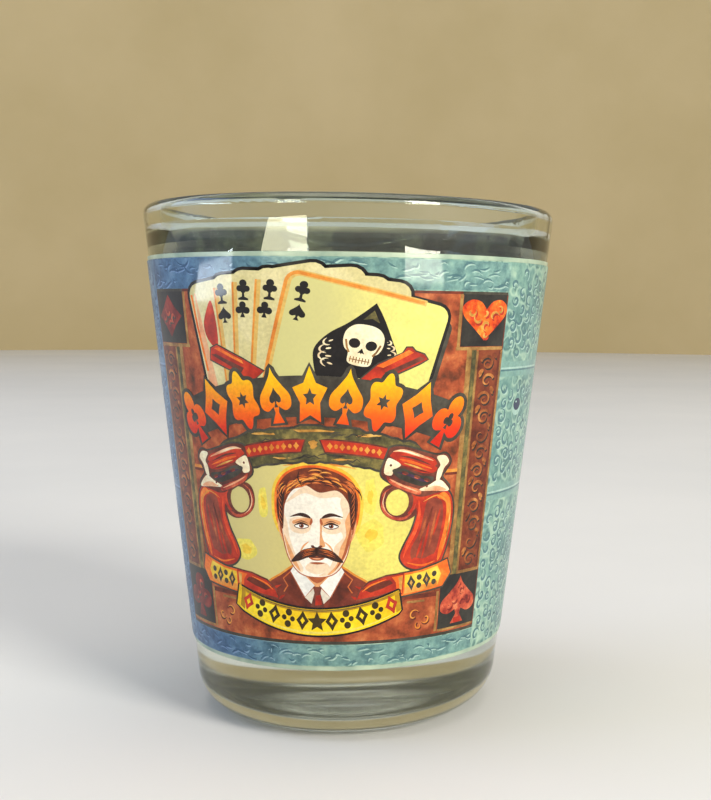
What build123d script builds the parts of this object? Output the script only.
from build123d import *
import os

# Souvenir shot glass: a clear pressed tumbler with a thick base, a white ground coat round its
# outside, and a colour print on that coat. Millimetres, +Z up, and -Y is the middle of the front.
# The origin is the centre of the foot, on the surface that the glass stands on.
# An azimuth is an angle round the glass in degrees, from -Y towards +X.

# Driving dimensions of the tumbler
height = 60.0
rim_radius = 25.0
foot_radius = 17.65
heel_rounding = 4.8
wall_at_lip = 1.9
shoulder_top = 57.0
shoulder_bottom = 54.0
wall_below_shoulder = 2.7
wall_at_floor = 3.2
floor_thickness = 9.0
lip_rounding_outside = 1.1
lip_rounding_inside = 0.7
shoulder_rounding = 4.0
floor_rounding = 4.5
dish_radius = 10.6
dish_depth = 0.9

# Driving dimensions of the coat and the print, with thicknesses measured level
coat_thickness = 0.12
coat_bottom = 8.4
coat_top = 53.8
print_thickness = 0.10
print_bottom = 8.9
print_top = 53.3
picture_azimuth = -10.0
seam_width_angle = 0.8


def outside_radius(z):
    """Radius of the tumbler's outer cone at height z."""
    return foot_radius + (rim_radius - foot_radius) * z / height


def sleeve_corners(inner_gap, thickness, bottom, top):
    """Section corners (radius, height) of a thin sleeve whose inside stands inner_gap off the outer cone."""
    inside_low = outside_radius(bottom) + inner_gap
    inside_high = outside_radius(top) + inner_gap
    return [
        (inside_low, bottom),
        (inside_low + thickness, bottom),
        (inside_high + thickness, top),
        (inside_high, top),
    ]


def corner_near(sketch, point):
    """The sketch's vertex nearest to a (radius, height) point."""
    return sketch.vertices().sort_by_distance(point)[0]


# Half plane through the axis that every section is drawn in: it lies where the print starts, in the
# plain border at one side, so that all three pieces turn round the axis from the same line
seam_azimuth = picture_azimuth + 90
print_start = seam_azimuth + seam_width_angle / 2
start_direction = Vector(0, -1, 0).rotate(Axis.Z, print_start)
section_plane = Plane((0, 0, 0), start_direction, start_direction.cross(Vector(0, 0, 1)))

# Corners of the tumbler's half section before they are rounded, as (radius, height)
heel_corner = (foot_radius, 0)
lip_outside_corner = (rim_radius, height)
lip_inside_corner = (rim_radius - wall_at_lip, height)
shoulder_top_corner = (outside_radius(shoulder_top) - wall_at_lip, shoulder_top)
shoulder_bottom_corner = (outside_radius(shoulder_bottom) - wall_below_shoulder, shoulder_bottom)
floor_corner = (outside_radius(floor_thickness) - wall_at_floor, floor_thickness)

# Tumbler: one solid of glass, standing on the flat ring between its shallow dish and its heel. Inside,
# a soft shoulder just below the lip takes the wall from its thin drinking edge to its full thickness.
with BuildPart() as glass_body:
    with BuildSketch(section_plane) as tumbler_section:
        with BuildLine():
            TangentArc((0, dish_depth), (dish_radius, 0), tangent=(1, 0))
            Polyline(
                (dish_radius, 0),
                heel_corner,
                lip_outside_corner,
                lip_inside_corner,
                shoulder_top_corner,
                shoulder_bottom_corner,
                floor_corner,
                (0, floor_thickness),
                (0, dish_depth),
            )
        make_face()
        fillet(corner_near(tumbler_section, heel_corner), heel_rounding)
        fillet(corner_near(tumbler_section, lip_outside_corner), lip_rounding_outside)
        fillet(corner_near(tumbler_section, lip_inside_corner), lip_rounding_inside)
        fillet(corner_near(tumbler_section, shoulder_top_corner), shoulder_rounding)
        fillet(corner_near(tumbler_section, shoulder_bottom_corner), shoulder_rounding)
        fillet(corner_near(tumbler_section, floor_corner), floor_rounding)
    revolve(axis=Axis.Z)

# White ground coat: a whole ring that shows as a thin line above and below the print
with BuildPart() as white_base_coat:
    with BuildSketch(section_plane):
        with BuildLine():
            Polyline(sleeve_corners(0, coat_thickness, coat_bottom, coat_top), close=True)
        make_face()
    revolve(axis=Axis.Z)

# Colour print: wrapped once round the coat, with its two ends just apart at the side
with BuildPart() as printed_wrap:
    with BuildSketch(section_plane):
        with BuildLine():
            Polyline(
                sleeve_corners(coat_thickness, print_thickness, print_bottom, print_top),
                close=True,
            )
        make_face()
    revolve(axis=Axis.Z, revolution_arc=360 - seam_width_angle)

glass_body.part.label = "glass_body"
white_base_coat.part.label = "white_base_coat"
printed_wrap.part.label = "printed_wrap"

os.makedirs("parts", exist_ok=True)
export_step(glass_body.part, "parts/glass_body.step")
export_step(white_base_coat.part, "parts/white_base_coat.step")
export_step(printed_wrap.part, "parts/printed_wrap.step")
